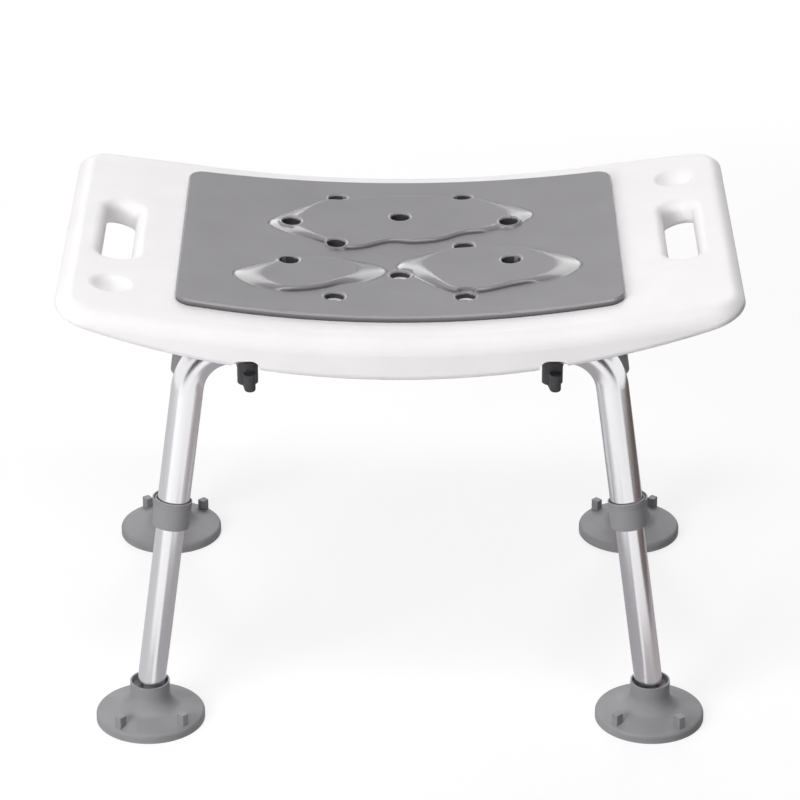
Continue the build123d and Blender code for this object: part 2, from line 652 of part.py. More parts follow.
def make_saddle_washer(side_x, side_y):
    """Washer with a hollow upper face that fits the arm from below."""
    with BuildPart() as saddle_washer:
        with BuildSketch(Plane.XY.offset(KNOB_TOP_Z)):
            with Locations((side_x * KNOB_X, side_y * ARM_Y)):
                Circle(WASHER_DIAMETER / 2)
                Circle(STUD_DIAMETER / 2 + RUNNING_CLEARANCE, mode=Mode.SUBTRACT)
        extrude(amount=WASHER_THICKNESS + WASHER_EARS)
        arm = Plane(origin=(side_x * KNOB_X, side_y * ARM_Y, ARM_Z), z_dir=(1, 0, 0))
        with BuildSketch(arm):
            Circle(UPPER_RADIUS + RUNNING_CLEARANCE)
        extrude(amount=WASHER_DIAMETER, both=True, mode=Mode.SUBTRACT)
    return saddle_washer.part


def make_wing_knob(side_x, side_y):
    """Round hub with two wings, and the blind hole that holds its stud."""
    top = Plane(origin=(side_x * KNOB_X, side_y * ARM_Y, KNOB_TOP_Z))
    with BuildPart() as wing_knob:
        with BuildSketch(top):
            Circle(KNOB_HUB_DIAMETER / 2)
        extrude(amount=-KNOB_HEIGHT + KNOB_WING_DROP)
        with BuildSketch(top.offset(-KNOB_WING_DROP)):
            SlotOverall(KNOB_WING_LENGTH, KNOB_WING_THICKNESS, rotation=KNOB_WING_TURN)
        extrude(amount=-KNOB_HEIGHT + KNOB_WING_DROP)
        lowest = wing_knob.faces().sort_by(Axis.Z)[0]
        fillet(lowest.edges(), KNOB_ROUND)
        with BuildSketch(top):
            Circle(STUD_DIAMETER / 2 + PRESS_CLEARANCE)
        extrude(amount=-STUD_IN_KNOB, mode=Mode.SUBTRACT)
    return wing_knob.part


def make_knob_stud(side_x, side_y):
    """Stud from the knob through washer and arm into the insert."""
    length = STUD_IN_KNOB + INSERT_BOTTOM_Z - KNOB_TOP_Z + INSERT_LENGTH - STUD_CLEARANCE
    with BuildPart() as knob_stud:
        with BuildSketch(Plane.XY.offset(KNOB_TOP_Z - STUD_IN_KNOB)):
            with Locations((side_x * KNOB_X, side_y * ARM_Y)):
                Circle(STUD_DIAMETER / 2)
        extrude(amount=length)
        chamfer(knob_stud.faces().sort_by(Axis.Z)[-1].edges(), STUD_CLEARANCE)
    return knob_stud.part


def save(part, name):
    """Label a finished piece and write it."""
    part.label = name
    export_step(part, f"parts/{name}.step")
    print(f"{name}: {part.volume / 1000:.1f} cm3")


SINGLE_PIECES = {
    "seat_shell": make_seat_shell,
    "seat_pad": make_seat_pad,
    "arm_plugs": make_arm_plugs,
    "thread_inserts": make_thread_inserts,
}
LEG_PIECES = {
    "upper_tube": make_upper_tube,
    "collar": make_collar,
    "lower_tube": make_lower_tube,
    "ball_tip": make_ball_tip,
    "height_button": make_height_button,
    "button_spring": make_button_spring,
    "suction_foot": make_suction_foot,
    "saddle_washer": make_saddle_washer,
    "wing_knob": make_wing_knob,
    "knob_stud": make_knob_stud,
}

os.makedirs("parts", exist_ok=True)
for name, make in SINGLE_PIECES.items():
    save(make(), name)
for corner, sides in LEG_CORNERS.items():
    for name, make in LEG_PIECES.items():
        save(make(*sides), f"{name}_{corner}")
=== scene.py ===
# %% [markdown]
# # A shower stool
# The stool is a curved white plastic seat with a grey foam pad, on four aluminium legs
# with rubber suction feet. The solids come from a CAD model, so their sizes and places
# are settled. This lesson gives every piece its finish, models the foam pad anew with
# its soft relief, and sets up the camera and a plain studio.

import json
import math

import bmesh
import bpy
import numpy as np
from mathutils import Matrix, Vector
from mathutils.geometry import interpolate_bezier


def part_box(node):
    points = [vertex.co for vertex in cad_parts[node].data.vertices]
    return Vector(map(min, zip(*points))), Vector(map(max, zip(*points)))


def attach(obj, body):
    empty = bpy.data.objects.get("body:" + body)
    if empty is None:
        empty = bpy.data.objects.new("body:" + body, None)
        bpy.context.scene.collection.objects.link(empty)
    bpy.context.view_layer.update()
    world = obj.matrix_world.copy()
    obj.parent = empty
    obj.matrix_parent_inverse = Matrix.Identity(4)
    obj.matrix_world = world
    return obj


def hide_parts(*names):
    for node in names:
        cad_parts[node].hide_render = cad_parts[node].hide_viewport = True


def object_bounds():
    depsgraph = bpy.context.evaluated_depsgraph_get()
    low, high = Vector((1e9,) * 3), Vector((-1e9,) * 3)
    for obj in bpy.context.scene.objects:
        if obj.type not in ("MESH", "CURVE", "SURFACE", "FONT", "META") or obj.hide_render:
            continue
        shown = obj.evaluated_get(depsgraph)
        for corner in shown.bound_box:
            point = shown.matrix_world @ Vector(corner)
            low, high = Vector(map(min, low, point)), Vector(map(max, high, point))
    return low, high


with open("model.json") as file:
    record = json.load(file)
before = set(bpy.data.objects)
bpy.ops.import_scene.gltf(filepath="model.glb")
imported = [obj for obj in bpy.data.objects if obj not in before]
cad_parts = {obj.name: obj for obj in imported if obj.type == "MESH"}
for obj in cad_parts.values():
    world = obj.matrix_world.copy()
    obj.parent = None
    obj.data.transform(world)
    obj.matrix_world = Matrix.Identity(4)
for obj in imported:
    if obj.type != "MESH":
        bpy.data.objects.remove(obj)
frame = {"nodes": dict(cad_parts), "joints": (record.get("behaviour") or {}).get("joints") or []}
cad_low, cad_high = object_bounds()
MM = 0.001
cad_size = [round(side / MM, 1) for side in cad_high - cad_low]
print("nodes:", len(frame["nodes"]), "box in mm:", cad_size)

# %% [markdown]
# ## The camera
# A product photograph is taken from a few metres away with a long lens, so that the near
# legs don't look larger than the far ones. The camera stands in front of the stool, well
# above it, and looks down by 26 degrees. The focal length is given in pixels of the
# 800 pixel frame, because that is how it can be measured on a picture, and then turned
# into millimetres on the sensor.

# %% Camera
CAMERA_PLACE = Vector((0.0, -2.846, 1.588))
CAMERA_LOOKS_DOWN = math.radians(26)
FOCAL_PIXELS = 3970
FRAME_PIXELS = 800

camera = bpy.data.objects.new("camera", bpy.data.cameras.new("camera"))
camera.location = CAMERA_PLACE
camera.rotation_euler = (math.pi / 2 - CAMERA_LOOKS_DOWN, 0, 0)
camera.data.lens = FOCAL_PIXELS / FRAME_PIXELS * camera.data.sensor_width
bpy.context.scene.collection.objects.link(camera)
bpy.context.scene.camera = camera
bpy.context.scene.view_settings.view_transform = "Standard"
print("lens in mm:", round(camera.data.lens, 1))

# %% [markdown]
# ## Colours
# A colour picker shows display values from 0 to 255, but shaders count light, which is
# linear. One small function turns the first into the second, so that the colours below
# can be written as they are seen.

# %% Colours as they are seen
def seen(red, green, blue):
    """Display values from 0 to 255 as a linear colour."""
    shares = [value / 255 for value in (red, green, blue)]
    linear = [s / 12.92 if s <= 0.04045 else ((s + 0.055) / 1.055) ** 2.4 for s in shares]
    return (*linear, 1.0)


WHITE = (1.0, 1.0, 1.0, 1.0)
print("a mid grey of 128 as light:", round(seen(128, 128, 128)[0], 3))

# %% [markdown]
# ## The studio
# The stool stands on a plain white floor in a white room. The world gives soft light from
# everywhere. Where the camera, or a reflection, looks straight at it, it is plain white.
# Light Path tells the two cases apart, so a white background costs no extra light on the
# stool.

# %% World
AMBIENT = 0.12


def seen_directly(tree):
    """1 where the ray comes from the camera, a mirror-like surface or glass, otherwise 0."""
    path = tree.nodes.new("ShaderNodeLightPath")
    value = path.outputs["Is Camera Ray"]
    for kind in ("Is Glossy Ray", "Is Transmission Ray"):
        larger = tree.nodes.new("ShaderNodeMath")
        larger.operation = "MAXIMUM"
        tree.links.new(value, larger.inputs[0])
        tree.links.new(path.outputs[kind], larger.inputs[1])
        value = larger.outputs["Value"]
    return value


def blend(tree, share, first, second):
    """The first shader where the share is 0, the second where it is 1."""
    mix = tree.nodes.new("ShaderNodeMixShader")
    tree.links.new(share, mix.inputs["Fac"])
    tree.links.new(first, mix.inputs[1])
    tree.links.new(second, mix.inputs[2])
    return mix.outputs["Shader"]


def make_world():
    """A world that gives soft light and looks plain white."""
    world = bpy.data.worlds.new("white_room")
    world.use_nodes = True
    tree = world.node_tree
    soft = tree.nodes["Background"]
    soft.inputs["Color"].default_value = WHITE
    soft.inputs["Strength"].default_value = AMBIENT
    plain = tree.nodes.new("ShaderNodeBackground")
    plain.inputs["Color"].default_value = WHITE
    both = blend(tree, seen_directly(tree), soft.outputs["Background"], plain.outputs["Background"])
    tree.links.new(both, tree.nodes["World Output"].inputs["Surface"])
    return world


bpy.context.scene.world = make_world()
print("world:", bpy.context.scene.world.name)

# %% [markdown]
# The floor is a large square that takes the stool's shadow. To the camera most of its
# white is a plain glow of strength below 1, and the rest is lit, so the shadow is there
# but stays faint, as on a page of a catalogue. Far from the stool, where the lamps don't
# reach, the glow grows to 1, and the floor runs into the white room without a horizon.
# Seen from below the floor is clear, so that the stool's underside can be looked at too.

# %% Floor paint
FLOOR_GLOW = 0.73
GLOW_GROWS_FROM = 1.0
GLOW_GROWS_TO = 3.5
FLOOR_LIT = 0.3
FLOOR_BOUNCE = 0.62


def bare_material(name):
    """A material without a shader, and its node tree."""
    material = bpy.data.materials.new(name)
    material.use_nodes = True
    tree = material.node_tree
    tree.nodes.remove(tree.nodes["Principled BSDF"])
    return material, tree


def matt(tree, level):
    """A matt shader of one grey."""
    paint = tree.nodes.new("ShaderNodeBsdfDiffuse")
    paint.inputs["Color"].default_value = (level, level, level, 1)
    return paint.outputs["BSDF"]


def growing_glow(tree):
    """A white glow that grows to 1 with the distance from the stool."""
    glow = tree.nodes.new("ShaderNodeEmission")
    glow.inputs["Color"].default_value = WHITE
    place = tree.nodes.new("ShaderNodeTexCoord")
    distance = tree.nodes.new("ShaderNodeVectorMath")
    distance.operation = "LENGTH"
    growth = tree.nodes.new("ShaderNodeMapRange")
    growth.inputs["From Min"].default_value = GLOW_GROWS_FROM
    growth.inputs["From Max"].default_value = GLOW_GROWS_TO
    growth.inputs["To Min"].default_value = FLOOR_GLOW
    tree.links.new(place.outputs["Object"], distance.inputs[0])
    tree.links.new(distance.outputs["Value"], growth.inputs["Value"])
    tree.links.new(growth.outputs["Result"], glow.inputs["Strength"])
    return glow.outputs["Emission"]


def floor_paint():
    """Glow and a lit share where it is seen directly, matt for other light, clear from below."""
    material, tree = bare_material("white_floor")
    shown = tree.nodes.new("ShaderNodeAddShader")
    tree.links.new(growing_glow(tree), shown.inputs[0])
    tree.links.new(matt(tree, FLOOR_LIT), shown.inputs[1])
    top = blend(tree, seen_directly(tree), matt(tree, FLOOR_BOUNCE), shown.outputs["Shader"])
    clear = tree.nodes.new("ShaderNodeBsdfTransparent").outputs["BSDF"]
    below = tree.nodes.new("ShaderNodeNewGeometry").outputs["Backfacing"]
    tree.links.new(blend(tree, below, top, clear), tree.nodes["Material Output"].inputs["Surface"])
    return material


paint = floor_paint()
print("floor paint:", paint.name, "with", len(paint.node_tree.nodes), "nodes")

# %% [markdown]
# The floor itself is a grid of one face, made in a bmesh, which is Blender's mesh for work
# in code. A short helper turns a finished bmesh into an object, and later pieces use it too.

# %% Floor
FLOOR_HALF = 8.0


def add_mesh(name, bm):
    """Turns a finished bmesh into an object of the scene."""
    mesh = bpy.data.meshes.new(name)
    bm.to_mesh(mesh)
    bm.free()
    made = bpy.data.objects.new(name, mesh)
    bpy.context.scene.collection.objects.link(made)
    return made


bm = bmesh.new()
bmesh.ops.create_grid(bm, x_segments=1, y_segments=1, size=FLOOR_HALF)
floor = add_mesh("floor", bm)
floor.data.materials.append(paint)
print("floor:", [round(side, 1) for side in floor.dimensions])

# %% [markdown]
# Softboxes do the rest. The key light stands in front and to the left, so the right ends
# of things are a little darker. The wide top light reaches down into hollows and draws
# bright lines on slopes that face the front. Two tall strips at the back do the same on
# slopes that lean to the sides. A softbox is an area lamp: the larger it is, the softer
# its shadow. The key light is kept out of reflections, so no piece mirrors it.

# %% Softboxes
STOOL_MIDDLE = Vector((0, 0, 0.3))
KEY_TINT = (1.0, 0.995, 0.99)
STRIP_SIZE = (0.7, 2.2)


def softbox(name, place, size, watts, tint=(1.0, 1.0, 1.0), mirrored=True):
    """An area lamp that points at the stool's middle. Glossy pieces may mirror it or not."""
    lamp = bpy.data.lights.new(name, "AREA")
    lamp.shape = "RECTANGLE"
    lamp.size, lamp.size_y = size
    lamp.energy = watts
    lamp.color = tint
    box = bpy.data.objects.new(name, lamp)
    box.location = place
    box.rotation_euler = (STOOL_MIDDLE - Vector(place)).to_track_quat("-Z", "Y").to_euler()
    box.visible_glossy = mirrored
    bpy.context.scene.collection.objects.link(box)


softbox("key_light", (-1.5, -1.9, 1.1), size=(1.2, 0.9), watts=42.5, tint=KEY_TINT, mirrored=False)
softbox("top_light", (-0.2, -0.75, 2.4), size=(2.2, 0.45), watts=25)
softbox("left_strip", (-0.55, 2.4, 1.9), size=STRIP_SIZE, watts=22)
softbox("right_strip", (0.55, 2.4, 1.9), size=STRIP_SIZE, watts=19)
print("lamps:", [lamp.name for lamp in bpy.data.lights])

# %% [markdown]
# A round tube is a narrow mirror that shows the whole room. In a room that is white all
# round it would look flat, so photographers lay grey and dark sheets beside such a thing
# and leave the floor in front of it white. Two more sheets hang behind and before the
# stool, for the pad to mirror. Only reflections see these sheets: they cast no shadow and
# give no light.

# %% Sheets for the reflections
SHEET_LIFT = 0.002
FLOOR_SHEETS = {
    "left_sheet": [
        (-0.19, 1.0), (-0.19, -0.3), (-0.22, -0.43), (-0.42, -0.43),
        (-0.5, -0.34), (-1.9, -1.16), (-2.2, 1.0),
    ],
    "middle_sheet": [
        (0.15, 1.0), (0.15, -0.28), (0.05, -0.57), (0.0, -0.71),
        (-0.05, -0.57), (-0.15, -0.28), (-0.15, 1.0),
    ],
    "right_sheet": [(0.17, 1.0), (0.17, -0.3), (0.2, -0.45), (0.42, -0.46), (0.55, -0.3), (0.55, 1.0)],
    "far_right_sheet": [(0.55, 1.0), (0.55, -0.25), (0.8, -0.6), (1.1, -0.9), (1.8, -1.35), (2.4, 1.0)],
}
HUNG_SHEETS = {
    "back_sheet": [(-0.15, 1.2, 0.67), (0.15, 1.2, 0.67), (0.15, 1.2, 1.63), (-0.15, 1.2, 1.63)],
    "front_sheet": [(-1.6, -2.0, 0.2), (1.6, -2.0, 0.2), (1.6, -2.0, 1.7), (-1.6, -2.0, 1.7)],
}
SHEET_COLOURS = {
    "left_sheet": seen(208, 207, 209),
    "middle_sheet": seen(168, 166, 169),
    "right_sheet": seen(172, 166, 167),
    "far_right_sheet": seen(90, 77, 74),
    "back_sheet": seen(96, 94, 98),
    "front_sheet": seen(70, 68, 70),
}


def reflected_sheet(name, corners):
    """A sheet of one plain colour that shows in reflections only."""
    bm = bmesh.new()
    bmesh.ops.contextual_create(bm, geom=[bm.verts.new(corner) for corner in corners])
    sheet = add_mesh(name, bm)
    paint, tree = bare_material(name)
    glow = tree.nodes.new("ShaderNodeEmission")
    glow.inputs["Color"].default_value = SHEET_COLOURS[name]
    tree.links.new(glow.outputs["Emission"], tree.nodes["Material Output"].inputs["Surface"])
    sheet.data.materials.append(paint)
    sheet.visible_camera = False
    sheet.visible_diffuse = False
    sheet.visible_transmission = False
    sheet.visible_shadow = False


for name, corners in FLOOR_SHEETS.items():
    reflected_sheet(name, [(x, y, SHEET_LIFT) for x, y in corners])
for name, corners in HUNG_SHEETS.items():
    reflected_sheet(name, corners)
print("sheets:", list(SHEET_COLOURS))

# %% [markdown]
# ## Tools for finishes
# A finish is a Principled shader with patterns plugged into its colour, roughness and
# bump. The patterns read Object coordinates. Every piece sits at the origin with its
# place in its mesh, so these are metres of the stool itself, and the grain has the same
# size on all pieces.

# %% Patterns
NOISE_LOW = 0.3
NOISE_HIGH = 0.7


def mottle(tree, place, size, detail=3.0):
    """Noise with blotches about size metres across."""
    node = tree.nodes.new("ShaderNodeTexNoise")
    node.inputs["Scale"].default_value = 1 / size
    node.inputs["Detail"].default_value = detail
    tree.links.new(place, node.inputs["Vector"])
    return node.outputs["Fac"]


def between(tree, pattern, low, high):
    """Stretches a noise, which stays near its middle, over a range of values."""
    node = tree.nodes.new("ShaderNodeMapRange")
    node.inputs["From Min"].default_value = NOISE_LOW
    node.inputs["From Max"].default_value = NOISE_HIGH
    node.inputs["To Min"].default_value = low
    node.inputs["To Max"].default_value = high
    tree.links.new(pattern, node.inputs["Value"])
    return node.outputs["Result"]


print("noise is stretched from", NOISE_LOW, "to", NOISE_HIGH)

# %% [markdown]
# Four more helpers start a finish and plug a pattern into one of its sockets.

# %% Patterns into a shader
def new_finish(name, roughness, metallic=0.0, specular=0.5):
    """A material, its node tree, its shader, and the Object coordinates."""
    material = bpy.data.materials.new(name)
    material.use_nodes = True
    tree = material.node_tree
    shader = tree.nodes["Principled BSDF"]
    shader.inputs["Roughness"].default_value = roughness
    shader.inputs["Metallic"].default_value = metallic
    shader.inputs["Specular IOR Level"].default_value = specular
    return material, tree, shader, tree.nodes.new("ShaderNodeTexCoord").outputs["Object"]


def two_tone(tree, shader, pattern, dark, light):
    """Colours the shader between two tones, and gives that colour back."""
    mix = tree.nodes.new("ShaderNodeMix")
    mix.data_type = "RGBA"
    tree.links.new(between(tree, pattern, 0, 1), mix.inputs["Factor"])
    mix.inputs["A"].default_value = dark
    mix.inputs["B"].default_value = light
    tree.links.new(mix.outputs["Result"], shader.inputs["Base Color"])
    return mix.outputs["Result"]


def vary_roughness(tree, shader, pattern, low, high):
    """Lets the gloss wander between two values."""
    tree.links.new(between(tree, pattern, low, high), shader.inputs["Roughness"])


def grain(tree, shader, pattern, depth):
    """Bumps the surface by a pattern of that depth in metres."""
    bump = tree.nodes.new("ShaderNodeBump")
    bump.inputs["Distance"].default_value = depth
    tree.links.new(pattern, bump.inputs["Height"])
    tree.links.new(bump.outputs["Normal"], shader.inputs["Normal"])


print("slots to finish:", sorted({node.material_slots[0].material.name for node in frame["nodes"].values()}))

# %% [markdown]
# ## The moulded plastics and rubber
# The seat is blow-moulded: the mould's sand-blasted wall leaves a very fine grain and a
# satin shine on the white plastic. The feet, collars and knobs are injected from darker
# mixes with the same kind of grain, so one function makes them all, and only colour,
# gloss and grain differ.

# %% Moulded finishes
CLOUD_SIZE = 35 * MM
GLOSS_PATCH = 12 * MM
GRAIN_DETAIL = 4


def moulded(name, dark, light, gloss, grain_size, grain_depth, specular=0.5):
    """Plastic or rubber out of a mould, with cloudy colour, uneven gloss and fine grain."""
    material, tree, shader, place = new_finish(name, sum(gloss) / 2, specular=specular)
    two_tone(tree, shader, mottle(tree, place, CLOUD_SIZE), dark, light)
    vary_roughness(tree, shader, mottle(tree, place, GLOSS_PATCH), *gloss)
    grain(tree, shader, mottle(tree, place, grain_size, GRAIN_DETAIL), grain_depth)
    return material


FINISHES = {
    "seat_plastic": moulded(
        "white_moulded_plastic",
        seen(237, 235, 236),
        seen(241, 239, 240),
        gloss=(0.42, 0.52),
        grain_size=1.4 * MM,
        grain_depth=0.03 * MM,
        specular=0.2,
    ),
    "collar_plastic": moulded(
        "grey_moulded_plastic",
        seen(137, 136, 139),
        seen(145, 144, 147),
        gloss=(0.42, 0.55),
        grain_size=0.9 * MM,
        grain_depth=0.04 * MM,
    ),
    "foot_rubber": moulded(
        "grey_rubber",
        seen(138, 137, 140),
        seen(148, 147, 150),
        gloss=(0.5, 0.62),
        grain_size=0.8 * MM,
        grain_depth=0.05 * MM,
        specular=0.4,
    ),
    "knob_plastic": moulded(
        "charcoal_plastic",
        seen(52, 51, 54),
        seen(64, 62, 65),
        gloss=(0.4, 0.52),
        grain_size=0.7 * MM,
        grain_depth=0.06 * MM,
    ),
}
print("finishes:", sorted(FINISHES))

# %% [markdown]
# ## The metals
# The leg tubes are drawn and then satin anodised. Drawing leaves very fine lines along
# the tube. A noise that is stretched along the leg gives such lines, and as every leg
# leans its own way, each gets a finish whose pattern is turned to its slide's direction.

# %% Metal finishes
UP = Vector((0, 0, 1))
LINE_STRETCH = 60


def metal(name, dark, light, gloss, grain_size, grain_depth, along=UP, stretch=1):
    """Bare metal with lines that run along a direction."""
    material, tree, shader, place = new_finish(name, sum(gloss) / 2, metallic=1.0)
    turned = tree.nodes.new("ShaderNodeMapping")
    turned.vector_type = "POINT"
    turned.inputs["Rotation"].default_value = Vector(along).rotation_difference(UP).to_euler()
    squeezed = tree.nodes.new("ShaderNodeMapping")
    squeezed.inputs["Scale"].default_value = (1, 1, 1 / stretch)
    tree.links.new(place, turned.inputs["Vector"])
    tree.links.new(turned.outputs["Vector"], squeezed.inputs["Vector"])
    lines = mottle(tree, squeezed.outputs["Vector"], grain_size)
    two_tone(tree, shader, lines, dark, light)
    vary_roughness(tree, shader, lines, *gloss)
    grain(tree, shader, lines, grain_depth)
    return material


for joint in frame["joints"]:
    if joint["name"].startswith("leg_slide_"):
        corner = joint["name"].removeprefix("leg_slide_")
        FINISHES["tube_aluminium_" + corner] = metal(
            "satin_aluminium_" + corner,
            seen(236, 235, 237),
            seen(241, 240, 242),
            gloss=(0.2, 0.25),
            grain_size=0.6 * MM,
            grain_depth=0.004 * MM,
            along=joint["axis"],
            stretch=LINE_STRETCH,
        )
for slot, name, dark, light, gloss, grain_size in (
    ("brass", "brass", seen(196, 160, 92), seen(214, 178, 106), (0.25, 0.38), 2 * MM),
    ("spring_steel", "spring_steel", seen(150, 150, 154), seen(178, 178, 182), (0.22, 0.36), 1.5 * MM),
    ("stud_steel", "zinc_plated_steel", seen(176, 177, 180), seen(200, 200, 202), (0.25, 0.4), 1.5 * MM),
):
    FINISHES[slot] = metal(name, dark, light, gloss, grain_size, grain_depth=0.01 * MM)
print("finishes:", sorted(FINISHES))

# %% [markdown]
# ## Dressing the CAD pieces
# Each CAD node takes the finish of its material slot in the record. The tubes are the
# exception: they take the finish of their own leg.

# %% Assign the finishes
CORNERS = ("front_left", "front_right", "back_left", "back_right")


def finish_for(node):
    """The finish of a node's slot, or of its own leg for a tube."""
    slot = node.material_slots[0].material.name
    corner = next((corner for corner in CORNERS if node.name.endswith(corner)), "")
    return FINISHES.get(slot) or FINISHES.get(slot + "_" + corner)


plain = []
for name, node in frame["nodes"].items():
    finish = finish_for(node)
    if finish is None:
        plain.append(name)
    else:
        node.material_slots[0].material = finish
print("still plain:", plain)

# %% [markdown]
# ## The foam pad
# The pad is a sheet of closed-cell foam, pressed hot in a mould. It follows the dish of
# the seat, its top edge is bevelled, twelve drain holes go through it, and three flat
# shapes like spilled water stand a little proud of it. It is far too firm to sag, so no
# cloth simulation is needed. It starts as a flat grid, the outlines are cut into the
# grid as edges, and then every point is lifted to its height, as a sculptor would.

# %% Sizes of the pad
pad_low, pad_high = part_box("seat_pad")
PAD_HALF = np.array([pad_high.x - pad_low.x, pad_high.y - pad_low.y]) / 2
PAD_CORNER = 12 * MM
PAD_BOW = 5 * MM
PAD_BEVEL = 1.4 * MM
PAD_THICKNESS = 5 * MM
GLUE_LINE = 0.1 * MM
SEAT_MIDDLE_Z = 328 * MM
DISH_RADIUS = 1050 * MM
DISH_HALF = 152 * MM


def seat_height(x):
    """Height of the seat's face: an arc in the middle, straight wings beyond it."""
    inside = np.minimum(np.abs(x), DISH_HALF)
    arc_drop = np.sqrt(DISH_RADIUS**2 - inside**2)
    wing = DISH_HALF / math.sqrt(DISH_RADIUS**2 - DISH_HALF**2) * (np.abs(x) - inside)
    return SEAT_MIDDLE_Z + DISH_RADIUS - arc_drop + wing


print("pad half sizes in mm:", np.round(PAD_HALF / MM, 1))

# %% [markdown]
# Seen from above, the drain holes are circles: two on the middle line, and five on each
# side that mirror each other. A puddle's outline is a closed smooth curve through a few
# points.

# %% Drains and puddle outlines
DRAIN_RADIUS = 7.25 * MM
MIDDLE_DRAINS = [(0, 53), (0, -53)]
SIDE_DRAINS = [(50, 0), (50, 95), (50, -95), (86, 37.5), (86, -37.5)]
DRAINS = np.array(MIDDLE_DRAINS + [(side * x, y) for side in (-1, 1) for x, y in SIDE_DRAINS]) * MM
PUDDLES = [
    [
        (-103, 37), (-90, 57), (-59, 86), (-8, 98), (42, 95), (79, 79), (105, 55), (90, 33), (70, 24),
        (51, 21), (32, 10), (11, 6), (-8, 8), (-29, -4), (-46, -6), (-65, 8), (-91, 22),
    ],
    [
        (-127, -67), (-119, -54), (-98, -39), (-61, -26), (-27, -31), (-11, -46),
        (-25, -65), (-45, -73), (-63, -84), (-84, -91), (-100, -90), (-117, -82),
    ],
    [
        (-2, -38), (10, -21), (37, -9), (83, -9), (123, -29), (139, -51),
        (130, -69), (116, -77), (90, -81), (62, -90), (40, -87), (24, -71), (9, -54),
    ],
]
CURVE_STEPS = 10


def smooth_loop(points):
    """Closed smooth curve through a few points."""
    loop = []
    for i in range(len(points)):
        around = [Vector(points[(i + k) % len(points)]) * MM for k in (-1, 0, 1, 2)]
        before, start, end, after = around
        first, second = start + (end - before) / 6, end - (after - start) / 6
        loop += interpolate_bezier(start, first, second, end, CURVE_STEPS + 1)[:-1]
    return np.array(loop)


PUDDLE_LOOPS = [smooth_loop(points) for points in PUDDLES]
print("puddle outlines:", [len(loop) for loop in PUDDLE_LOOPS], "points")

# %% [markdown]
# Three measures describe the pad from above. The first is how far a point lies inside the
# pad's outline, and the second is how far it lies from the rim of the nearest drain hole.
# Both have a formula. For a puddle's free outline the distance is worked out from all its
# short sides together, so that it changes softly.

# %% Distances from the outlines
TINY = 1e-6


def inside_outline(points):
    """How far points lie inside the pad's outline, whose long sides curve in towards its ends."""
    bow = PAD_BOW * (points[:, 0] / PAD_HALF[0]) ** 2
    beyond = np.abs(points) - PAD_HALF + PAD_CORNER + np.stack([0 * bow, bow], axis=1)
    off_core = np.linalg.norm(np.maximum(beyond, 0), axis=1)
    return PAD_CORNER - off_core - np.minimum(beyond.max(axis=1), 0)


def off_drains(points):
    """How far points lie from the rim of the nearest drain hole."""
    return np.linalg.norm(points[:, None] - DRAINS, axis=2).min(axis=1) - DRAIN_RADIUS


def inside_loop(points, loop):
    """How far points lie inside a closed line, softly: far from the line no ridge shows."""
    side = np.roll(loop, -1, axis=0) - loop
    length = np.linalg.norm(side, axis=1)
    gap = points[:, None] - loop
    along = (gap * side).sum(axis=2) / length
    off = np.maximum(np.abs(gap[..., 0] * side[:, 1] - gap[..., 1] * side[:, 0]) / length, TINY)
    pull = (length - along) / np.hypot(length - along, off) + along / np.hypot(along, off)
    nearness = np.sqrt(2 / (pull / off**2).sum(axis=1))
    passes = (gap[..., 1] < 0) != (gap[..., 1] < side[:, 1])
    left = gap[..., 0] * side[:, 1] < gap[..., 1] * side[:, 0]
    crossings = (passes & (left == (side[:, 1] > 0))).sum(axis=1)
    return np.where(crossings % 2 == 1, nearness, -nearness)


drain_margin = inside_outline(DRAINS).min()
print("drain centres lie inside the outline by", round(drain_margin / MM, 1), "mm or more")

# %% [markdown]
# The third measure is how far a point is up a puddle's slope. The slope is short and steep
# at the front and back of a puddle, and gets longer and gentle towards its tips.

# %% Slopes of the puddles
PUDDLE_SLOPE = 3.2 * MM
TIP_SLOPE = 25 * MM
TIP_REACH = 45 * MM


def slope_lengths(points):
    """Length of each puddle's slope at some points: short at the sides, long at the tips."""
    lengths = []
    for loop in PUDDLE_LOOPS:
        from_tip = np.minimum(points[:, 0] - loop[:, 0].min(), loop[:, 0].max() - points[:, 0])
        near_tip = np.clip(1 - from_tip / TIP_REACH, 0, 1)
        lengths.append(PUDDLE_SLOPE + (TIP_SLOPE - PUDDLE_SLOPE) * near_tip**2 * (3 - 2 * near_tip))
    return np.array(lengths)


def slope_shares(points):
    """How far points are up each puddle's slope: 0 at its foot, 1 and more on its flat top."""
    return np.array([inside_loop(points, loop) for loop in PUDDLE_LOOPS]) / slope_lengths(points)


def up_the_slope(points):
    """How far points are up the slope of the puddle that they are highest on."""
    return slope_shares(points).max(axis=0)


print("drains on a puddle:", int((up_the_slope(DRAINS) > 0).sum()), "of", len(DRAINS))

# %% [markdown]
# The grid is cut along lines of equal measure, like the contour lines on a map. An edge
# that crosses a line is split there, and the new points are joined across the faces. The
# relief then has edges exactly where its shape turns, and the mesh stays coarse elsewhere.

# %% Cut the grid
CELL = 3 * MM
BEVEL_LINES = [0, PAD_BEVEL]
DRAIN_ROUND = 2.2 * MM
DRAIN_COLLAR = 3.5 * MM
DRAIN_LINES = [0, 0.1 * MM, 0.35 * MM, 0.7 * MM, 1.3 * MM, DRAIN_ROUND, DRAIN_COLLAR]
PUDDLE_LINES = [-0.1, 0, 0.06, 0.14, 0.26, 0.42, 0.62, 0.8, 1]


def plan(bm):
    """The points of the mesh seen from above."""
    return np.array([vert.co.xy for vert in bm.verts])


